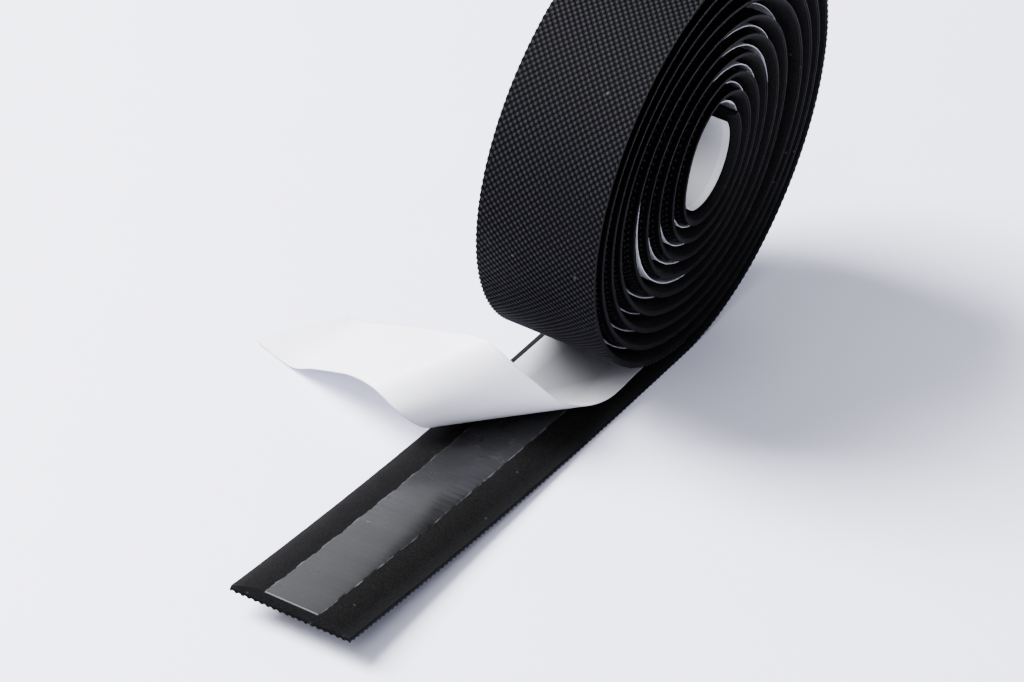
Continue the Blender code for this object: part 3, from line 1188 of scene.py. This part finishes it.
@dataclass
class Finishes:
    """The four finishes of the tape."""

    materials: Dict[Layer, bpy.types.Material] = field(default_factory=dict)

    def build(self) -> None:
        """Builds the shared effects and then each finish."""
        effects = SharedEffects()
        effects.build()
        choices = (
            SkinFinish(
                "embossed_skin",
                Layer.SKIN,
                (0.0005, 0.0005, 0.0007),
                (0.0125, 0.0120, 0.0148),
                0.62,
                0.03,
                0.35,
            ),
            FoamFinish(
                "foam_pad", Layer.FOAM, (0.0014, 0.0014, 0.0014), (0.0058, 0.0058, 0.0058), 0.92, 0.04, 0.6
            ),
            AdhesiveFinish(
                "adhesive_film",
                Layer.ADHESIVE,
                (0.0035, 0.0035, 0.0037),
                (0.006, 0.006, 0.0062),
                0.25,
                0.34,
                0.045,
            ),
            LinerFinish("liner_paper", Layer.LINER, (0.86, 0.86, 0.88), (0.80, 0.80, 0.83), 0.42, 0.4, 0.2),
        )
        for finish in choices:
            self.materials[finish.layer] = finish.build(effects)
            LOG.info("finish %s", finish.name)


# ---- the tape --------------------------------------------------------------------------------------
def mark_stuck(piece: bpy.types.Object, shares: np.ndarray) -> None:
    """Marks how grey each point of a liner is: partly the adhesive showing through it, partly painted shade
    of the roll.

    Args:
        piece: the piece of liner.
        shares: from 0, white, to 1, fully grey: one for each point, or one for all.
    """
    mark = piece.data.attributes.new("stuck", "FLOAT", "POINT")
    mark.data.foreach_set("value", np.broadcast_to(shares, len(piece.data.vertices)).astype(np.float32))


WAVES: Tuple[Corner2, ...] = ((0.0113, 1.0), (0.0047, 0.6), (0.0021, 0.45), (0.0012, 0.25))


def waver(s: np.ndarray, size: float, phase: float) -> np.ndarray:
    """A smooth, uneven line along the tape.

    Args:
        s: length along the tape.
        size: how far it strays.
        phase: where it starts.

    Returns:
        The line's distance from straight at each length.
    """
    total = sum(share * np.sin(2.0 * np.pi * s / wave + phase * (3.1 + 7.0 * share)) for wave, share in WAVES)
    return size * total / sum(share for _, share in WAVES)


def ragged(size: float) -> Shape:
    """A shape for a layer's borders, which stray from their line.

    Args:
        size: how far they stray at most. Each border strays in its own way.

    Returns:
        The shape.
    """

    def shape(s: np.ndarray, across: np.ndarray, height: np.ndarray) -> Tuple[np.ndarray, np.ndarray]:
        """Moves the points of each border sideways."""
        side = np.sign(across)
        return across + waver(s, size, 1.0 + 0.8 * side) * np.abs(across) / np.abs(across).max(), height

    return shape


@dataclass(frozen=True)
class Bend:
    """Two bodies at a joint of the tape, and the places where the joint starts and ends."""

    first: Body
    second: Body
    start: Corner
    end: Corner

    def apply(self, piece: bpy.types.Object) -> None:
        """Bakes a piece's transform into its mesh."""
        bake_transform(piece)


LIFT_BEND = Bend(Body.ROLL, Body.FREE_END, (-0.0040, 0.0, 0.003), (-0.0145, 0.0, 0.003))
CURL_BEND = Bend(Body.FREE_END, Body.TIP, (-0.0740, 0.0, 0.004), (-0.0940, 0.0, 0.004))
FLAP_BEND = Bend(Body.FREE_END, Body.FLAP, (-0.0676, 0.0150, 0.0207), (-0.0587, 0.0227, 0.0185))


@dataclass
class WoundRoll:
    """The roll: its four layers from the foot to the inner end, the skin in three pieces."""

    path: TapePath
    laminate: Laminate
    finishes: Finishes
    emboss: Emboss
    tree: bpy.types.NodeTree
    start: float
    outer_tiles: int
    bump_tree: bpy.types.NodeTree
    bare_middle: float = 0.0210
    inner_sides: int = 4
    shift_turns: Tuple[float, ...] = (0.0, 0.3, 3.6, 4.2, 4.9, 5.6, 6.4, 7.4, 9.4)
    shift_sizes: Tuple[float, ...] = (
        0.0, 0.0008, 0.0008, -0.0006, -0.0022, -0.0012, -0.0017, -0.0009, -0.0015,
    )

    def layer(
        self, name: str, layer: Layer, section: Sequence[Corner2], start: float, end: float
    ) -> bpy.types.Object:
        """Builds one layer of the roll.

        Args:
            name: the piece's name.
            layer: which layer it is.
            section: its cross-section.
            start: first length along the tape.
            end: last length along the tape.

        Returns:
            The piece.
        """
        build = TapeLayer(self.path, section)
        return build.build(name, start, end, self.finishes.materials[layer])

    def liner_shift(
        self, s: np.ndarray, across: np.ndarray, height: np.ndarray
    ) -> Tuple[np.ndarray, np.ndarray]:
        """Moves the wound liner sideways: it was wound a little out of line with the tape.

        Args:
            s: length along the tape.
            across: place across the width.
            height: height above the skin's outer face.

        Returns:
            The moved places across, and the heights as they were.
        """
        places = np.array([self.path.at_turn(turn) for turn in self.shift_turns])
        return across + np.interp(s, places, self.shift_sizes), height

    def finish(self, piece: bpy.types.Object, layer: Layer, *nodes: str) -> None:
        """Hangs a piece on the roll in place of its CAD solid.

        Args:
            piece: the piece.
            layer: not used.
            nodes: the CAD nodes that it replaces.
        """
        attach(piece, Body.ROLL.value)
        if nodes:
            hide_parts(*nodes)
        LOG.info("piece %s: %d faces", piece.name, len(piece.data.polygons))

    def build(self) -> None:
        """Builds every layer."""
        laminate, end, pitch = self.laminate, self.path.length, self.emboss.pitch_along
        skin = self.finishes.materials[Layer.SKIN]
        halves = (
            ("roll_skin_front", 0, self.outer_tiles // 2),
            ("roll_skin_back", self.outer_tiles // 2, self.outer_tiles),
        )
        for name, first, last in halves:
            start = self.start + first * pitch
            piece = embossed_skin(name, self.path, self.emboss, self.tree, start, last - first, skin)
            self.finish(piece, Layer.SKIN, *(["skin_roll"] if first == 0 else []))
        outer_end = self.start + self.outer_tiles * pitch
        inner = self.layer("roll_skin_inner", Layer.SKIN, laminate.skin_section(), outer_end, end)
        emboss_skin(
            inner, self.path, self.emboss, self.bump_tree, outer_end,
            end - 2.0 * pitch, self.bare_middle, self.inner_sides,
        )
        foam = self.layer("roll_foam", Layer.FOAM, laminate.foam_section(), self.start, end)
        film = self.layer("roll_adhesive", Layer.ADHESIVE, laminate.adhesive_section(), self.start, end)
        wound = TapeLayer(self.path, laminate.liner_section(), shape=self.liner_shift)
        liner = wound.build("roll_liner", self.start, end, self.finishes.materials[Layer.LINER])
        # the wound liner is grey all through: the adhesive showing through, and painted shade inside the roll
        mark_stuck(liner, np.ones(1))
        self.finish(inner, Layer.SKIN)
        self.finish(foam, Layer.FOAM, "foam_roll")
        self.finish(film, Layer.ADHESIVE, "adhesive_roll")
        self.finish(liner, Layer.LINER, "liner_roll")


@dataclass
class FreeStretch:
    """A stretch of the unrolled tape: skin, foam and adhesive, laid across one joint."""

    name: str
    path: TapePath
    laminate: Laminate
    finishes: Finishes
    emboss: Emboss
    tree: bpy.types.NodeTree
    start: float
    end: float
    bend: Bend
    part: str
    fine_step: float = 0.0005
    border_waver: float = 0.00028
    foam_waver: float = 0.00003

    def build(self) -> None:
        laminate = self.laminate
        tiles = int(round((self.end - self.start) / self.emboss.pitch_along))
        skin = self.finishes.materials[Layer.SKIN]
        skin_piece = embossed_skin(
            self.name + "_skin", self.path, self.emboss, self.tree, self.start, tiles, skin
        )
        foam = TapeLayer(self.path, laminate.foam_section(), step=0.001, shape=ragged(self.foam_waver))
        foam_piece = foam.build(
            self.name + "_foam", self.start, self.end, self.finishes.materials[Layer.FOAM]
        )
        film = TapeLayer(
            self.path, laminate.adhesive_section(), step=self.fine_step, shape=ragged(self.border_waver)
        )
        film_piece = film.build(
            self.name + "_adhesive", self.start, self.end, self.finishes.materials[Layer.ADHESIVE]
        )
        for piece, layer in (
            (skin_piece, Layer.SKIN), (foam_piece, Layer.FOAM), (film_piece, Layer.ADHESIVE)
        ):
            self.bend.apply(piece)
            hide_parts(f"{layer.value}_{self.part}")
            LOG.info("piece %s: %d faces", piece.name, len(piece.data.polygons))


@dataclass
class PeeledLiner:
    """The liner beyond the nip: still on the tape, then peeled up, folded over and lying beside it."""

    path: TapePath
    laminate: Laminate
    finishes: Finishes
    nip_start: float
    nip_x: float = -0.0150
    near: Tuple[Corner, ...] = (
        (-0.0154, 0.0000, 0.0000), (-0.0329, 0.0000, 0.0004), (-0.0481, 0.0021, 0.0068),
        (-0.0569, 0.0080, 0.0161), (-0.0586, 0.0183, 0.0222), (-0.0533, 0.0294, 0.0170),
        (-0.0474, 0.0418, 0.0101), (-0.0420, 0.0530, 0.0035), (-0.0378, 0.0610, -0.0012),
        (-0.0366, 0.0660, -0.0016),
    )
    far: Tuple[Corner, ...] = (
        (-0.0571, 0.0000, 0.0000), (-0.0645, 0.0001, 0.0003), (-0.0713, 0.0011, 0.0023),
        (-0.0768, 0.0043, 0.0075), (-0.0766, 0.0117, 0.0111), (-0.0731, 0.0193, 0.0094),
        (-0.0696, 0.0263, 0.0058), (-0.0663, 0.0333, 0.0019), (-0.0621, 0.0414, -0.0029),
        (-0.0580, 0.0531, -0.0030),
    )
    ridge: int = 4
    steps: int = 12
    seat_steps: int = 20
    columns: int = 13
    # rows over which the liner's grey fades out beyond the seat: painted shade of the roll on the peeling
    # liner
    wet_and_shade_fade: float = 30.0

    def edge(self, corners: Sequence[Corner], side: float) -> np.ndarray:
        """Places of one edge's points.

        Args:
            corners: x, distance beyond the liner's own edge line, and height above the tape.
            side: -1 for the near edge, 1 for the far one.

        Returns:
            The points.
        """
        table = np.array(corners)
        across = side * 0.5 * self.laminate.liner_width + table[:, 1]
        height = self.laminate.liner_base + self.path.rise(table[:, 0]) + table[:, 2]
        return np.stack([table[:, 0], across, height], axis=1)

    @staticmethod
    def smooth(points: np.ndarray, place: np.ndarray) -> np.ndarray:
        """Points of a Catmull-Rom curve.

        Args:
            points: the points that it passes through.
            place: places along it, counted in points.

        Returns:
            One point for each place.
        """
        padded = np.concatenate([2.0 * points[:1] - points[1:2], points, 2.0 * points[-1:] - points[-2:-1]])
        index = np.minimum(place.astype(int), len(points) - 2)
        share = (place - index)[:, None]
        before, here, there, after = (padded[index + shift] for shift in range(4))
        linear = (there - before) * share
        square = (before * 2.0 - here * 5.0 + there * 4.0 - after) * share ** 2
        cubic = (here * 3.0 - before - there * 3.0 + after) * share ** 3
        return here + (linear + square + cubic) * 0.5

    def rows(self, start: float, end: float) -> Tuple[np.ndarray, np.ndarray]:
        """Ends of the straight lines that make the peeled sheet.

        Args:
            start: first place, counted in pairs of points.
            end: last place.

        Returns:
            The lines' near and far ends.
        """
        place = np.linspace(start, end, int(round((end - start) * self.steps)) + 1)
        return self.smooth(self.edge(self.near, -1.0), place), self.smooth(self.edge(self.far, 1.0), place)

    def seat(self) -> Tuple[np.ndarray, np.ndarray]:
        """Lines of the wedge that still lies on the tape, between the nip and the slanted fold.

        Returns:
            The lines' near and far ends.
        """
        near, far = self.edge(self.near, -1.0)[0], self.edge(self.far, 1.0)[0]
        share = np.linspace(0.0, 1.0, self.seat_steps, endpoint=False)
        ends = []
        for side, corner in ((-1.0, near), (1.0, far)):
            x = self.nip_x + (corner[0] - self.nip_x) * share
            across = np.full(len(x), side * 0.5 * self.laminate.liner_width)
            ends.append(np.stack([x, across, self.laminate.liner_base + self.path.rise(x)], axis=1))
        return ends[0], ends[1]

    def ribbon(self, name: str, near: np.ndarray, far: np.ndarray) -> bpy.types.Object:
        """Builds a closed sheet between two edges.

        Args:
            name: the piece's name.
            near: points of the near edge.
            far: points of the far edge.

        Returns:
            The piece.
        """
        share = np.linspace(0.0, 1.0, self.columns)[None, :, None]
        under = near[:, None, :] * (1.0 - share) + far[:, None, :] * share
        along = np.gradient(under, axis=0)
        across = np.gradient(under, axis=1)
        normal = np.cross(across, along)
        normal /= np.linalg.norm(normal, axis=2, keepdims=True)
        over = under + normal * self.laminate.liner
        rows, columns = under.shape[:2]
        count = rows * columns
        points = np.concatenate([over.reshape(-1, 3), under.reshape(-1, 3)])
        faces: List[Tuple[int, ...]] = []
        for row in range(rows - 1):
            for column in range(columns - 1):
                corner = row * columns + column
                quad = (corner, corner + 1, corner + columns + 1, corner + columns)
                faces.append(quad)
                faces.append(tuple(place + count for place in reversed(quad)))
        rim = [column for column in range(columns)]
        rim += [row * columns + columns - 1 for row in range(1, rows)]
        rim += [(rows - 1) * columns + column for column in range(columns - 2, -1, -1)]
        rim += [row * columns for row in range(rows - 2, 0, -1)]
        for here, there in zip(rim, rim[1:] + rim[:1]):
            faces.append((there, here, here + count, there + count))
        piece = make_object(name, points, faces, self.finishes.materials[Layer.LINER])
        smooth_sides(piece, 50.0)
        middle = 0.5 * (near + far)
        length = np.concatenate([[0.0], np.cumsum(np.linalg.norm(np.diff(middle, axis=0), axis=1))])
        s = np.repeat(length, columns)
        w = np.tile((share.ravel() - 0.5) * self.laminate.liner_width, rows)
        add_flat_coordinates(piece, np.tile(s, 2), np.tile(w, 2))
        return piece

    def declare(self, piece: bpy.types.Object) -> None:
        """Logs the face count of a piece of liner.

        Args:
            piece: the piece.
        """
        LOG.info("piece %s: %d faces", piece.name, len(piece.data.polygons))

    @staticmethod
    def mean_length(near: np.ndarray, far: np.ndarray) -> float:
        """Mean length of a ribbon's two edges."""
        return float(0.5 * sum(np.linalg.norm(np.diff(edge, axis=0), axis=1).sum() for edge in (near, far)))

    def build(self) -> None:
        """Builds the liner at the nip, the fold and the flap."""
        nip = TapeLayer(self.path, self.laminate.liner_section(), step=0.0005)
        nip_end = self.path.at_x(self.nip_x)
        nip_piece = nip.build("liner_nip", nip_end, self.nip_start, self.finishes.materials[Layer.LINER])
        # grey: adhesive showing through and painted shade of the roll at the nip
        mark_stuck(nip_piece, np.ones(1))
        LIFT_BEND.apply(nip_piece)
        seat_near, seat_far = self.seat()
        peel_near, peel_far = self.rows(0.0, float(self.ridge))
        near, far = np.concatenate([seat_near, peel_near]), np.concatenate([seat_far, peel_far])
        fold = self.ribbon("liner_peeled_fold", near, far)
        # painted shade: the seat is grey and the grey fades over the first peeled rows, where the roll shades
        # the liner
        lines = np.concatenate(
            [np.ones(len(seat_near)), np.clip(1.0 - np.arange(len(peel_near)) / self.wet_and_shade_fade, 0.0, 1.0)]
        )
        mark_stuck(fold, np.tile(np.repeat(lines, self.columns), 2))
        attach(fold, Body.FREE_END.value)
        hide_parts("liner_fold")
        self.declare(fold)
        near, far = self.rows(float(self.ridge), float(len(self.near) - 1))
        flap = self.ribbon("liner_peeled_flap", near, far)
        mark_stuck(flap, np.zeros(1))
        FLAP_BEND.apply(flap)
        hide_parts("liner_flap")
        self.declare(flap)


# ---- the studio --------------------------------------------------------------------------------------
@dataclass
class Softbox:
    """A large area light that faces the roll."""

    name: str
    away: Corner
    size: Corner2
    power: float
    colour: Colour
    aim: Corner = (-0.05, 0.0, 0.03)

    def build(self) -> None:
        """Adds the light."""
        data = bpy.data.lights.new(self.name, "AREA")
        data.shape = "RECTANGLE"
        data.size, data.size_y = self.size
        data.energy = self.power
        data.color = self.colour
        lamp = bpy.data.objects.new(self.name, data)
        bpy.context.scene.collection.objects.link(lamp)
        lamp.location = Vector(self.aim) + Vector(self.away)
        lamp.rotation_euler = Vector(self.away).to_track_quat("Z", "Y").to_euler()


@dataclass
class Studio:
    """A pale floor, soft light and the camera."""

    floor_drop: float = 0.00030
    floor_half: float = 3.0
    floor_colour: Colour = (0.86, 0.86, 0.985)
    world_colour: Colour = (0.82, 0.83, 0.98)
    world_strength: float = 0.62
    azimuth: float = -63.612
    elevation: float = 33.576
    roll: float = 6.873
    distance: float = 1.21518
    lens: float = 195.75
    aim: Corner = (-0.06751, -0.00430, 0.03501)

    def build_floor(self) -> None:
        """Adds the floor, plain but for a faint tooth."""
        material = bpy.data.materials.new("pale_floor")
        material.use_nodes = True
        desk = NodeDesk(material.node_tree)
        shader = material.node_tree.nodes["Principled BSDF"]
        shader.inputs["Roughness"].default_value = 0.55
        shader.inputs["Specular IOR Level"].default_value = 0.25
        place = desk.add("ShaderNodeTexCoord").outputs["Object"]
        shade = desk.step(desk.noise(place, 30.0, 3.0), 0.2, 0.8)
        darker = tuple(0.985 * channel for channel in self.floor_colour)
        colour = desk.blend(shade, (*darker, 1.0), (*self.floor_colour, 1.0))
        desk.tree.links.new(colour, shader.inputs["Base Color"])
        half = self.floor_half
        points = np.array([(-half, -half, -self.floor_drop), (half, -half, -self.floor_drop),
                           (half, half, -self.floor_drop), (-half, half, -self.floor_drop)])
        floor = make_object("floor", points, [(0, 1, 2, 3)], material)

    def build_world(self) -> None:
        """Sets an even pale surround."""
        world = bpy.data.worlds.new("soft_surround")
        world.use_nodes = True
        background = world.node_tree.nodes["Background"]
        background.inputs["Color"].default_value = (*self.world_colour, 1.0)
        background.inputs["Strength"].default_value = self.world_strength
        bpy.context.scene.world = world

    def build_lights(self) -> None:
        """Adds the softboxes."""
        softboxes = (
            Softbox("key_softbox", (-0.38, 1.00, 1.05), (0.9, 0.9), 150.0, (0.965, 0.97, 1.0)),
            Softbox("gloss_panel", (1.75, 0.87, 1.05), (1.7, 1.1), 11.0, (0.95, 0.97, 1.0)),
            Softbox("front_fill", (-1.35, 0.05, 1.25), (1.2, 1.2), 18.0, (0.95, 0.96, 1.0)),
        )
        for softbox in softboxes:
            softbox.build()

    def build_camera(self) -> None:
        """Adds the camera, turned a little about its own line of sight."""
        turn, tilt, roll = (math.radians(angle) for angle in (self.azimuth, self.elevation, self.roll))
        back = Vector((math.sin(turn) * math.cos(tilt), -math.cos(turn) * math.cos(tilt), math.sin(tilt)))
        level = (-back).cross(Vector((0.0, 0.0, 1.0))).normalized()
        upright = level.cross(-back)
        right = math.cos(roll) * level + math.sin(roll) * upright
        above = -math.sin(roll) * level + math.cos(roll) * upright
        data = bpy.data.cameras.new("camera")
        data.lens = self.lens
        data.sensor_width = 36.0
        data.clip_start = 0.05
        data.clip_end = 50.0
        camera = bpy.data.objects.new("camera", data)
        bpy.context.scene.collection.objects.link(camera)
        turned = Matrix((right, above, back)).transposed().to_4x4()
        camera.matrix_world = Matrix.Translation(Vector(self.aim) + self.distance * back) @ turned
        bpy.context.scene.camera = camera

    def build(self) -> None:
        """Builds the studio."""
        self.build_camera()
        self.build_floor()
        self.build_world()
        self.build_lights()


# ---- all of it ---------------------------------------------------------------------------------------
def clear_strays() -> None:
    """Removes what a new file holds and the frame doesn't."""
    for name in ("Cube", "Light", "Camera"):
        stray = bpy.data.objects.get(name)
        if stray is not None and stray.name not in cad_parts:
            bpy.data.objects.remove(stray, do_unlink=True)


NIP_X = -0.002
STRETCH_JOIN_X = -0.048


def main() -> None:
    """Builds the studio and the roll of tape."""
    logging.basicConfig(level=logging.INFO, format="%(name)s: %(message)s")
    clear_strays()
    Studio().build()
    winding = Winding()
    path = TapePath(winding, tail_length=0.1479, tail_lift=0.0059, lift_start=-0.020)
    laminate, emboss = Laminate(), Emboss()
    finishes = Finishes()
    finishes.build()
    sheet_tree, bump_tree = emboss.sheet_tree(), emboss.tree()
    pitch = emboss.pitch_along
    roll_start = round(path.at_x(NIP_X) / pitch) * pitch
    middle = round(path.at_x(STRETCH_JOIN_X) / pitch) * pitch
    outer_tiles = round((path.at_turn(1.0) - roll_start) / pitch)
    shared = (path, laminate, finishes, emboss, sheet_tree)
    WoundRoll(*shared, roll_start, outer_tiles, bump_tree).build()
    FreeStretch("inner_stretch", *shared, middle, roll_start, LIFT_BEND, "free_end").build()
    FreeStretch("outer_stretch", *shared, 0.0, middle, CURL_BEND, "tip").build()
    PeeledLiner(path, laminate, finishes, roll_start).build()
    bpy.context.view_layer.update()


if __name__ == "__main__":
    main()
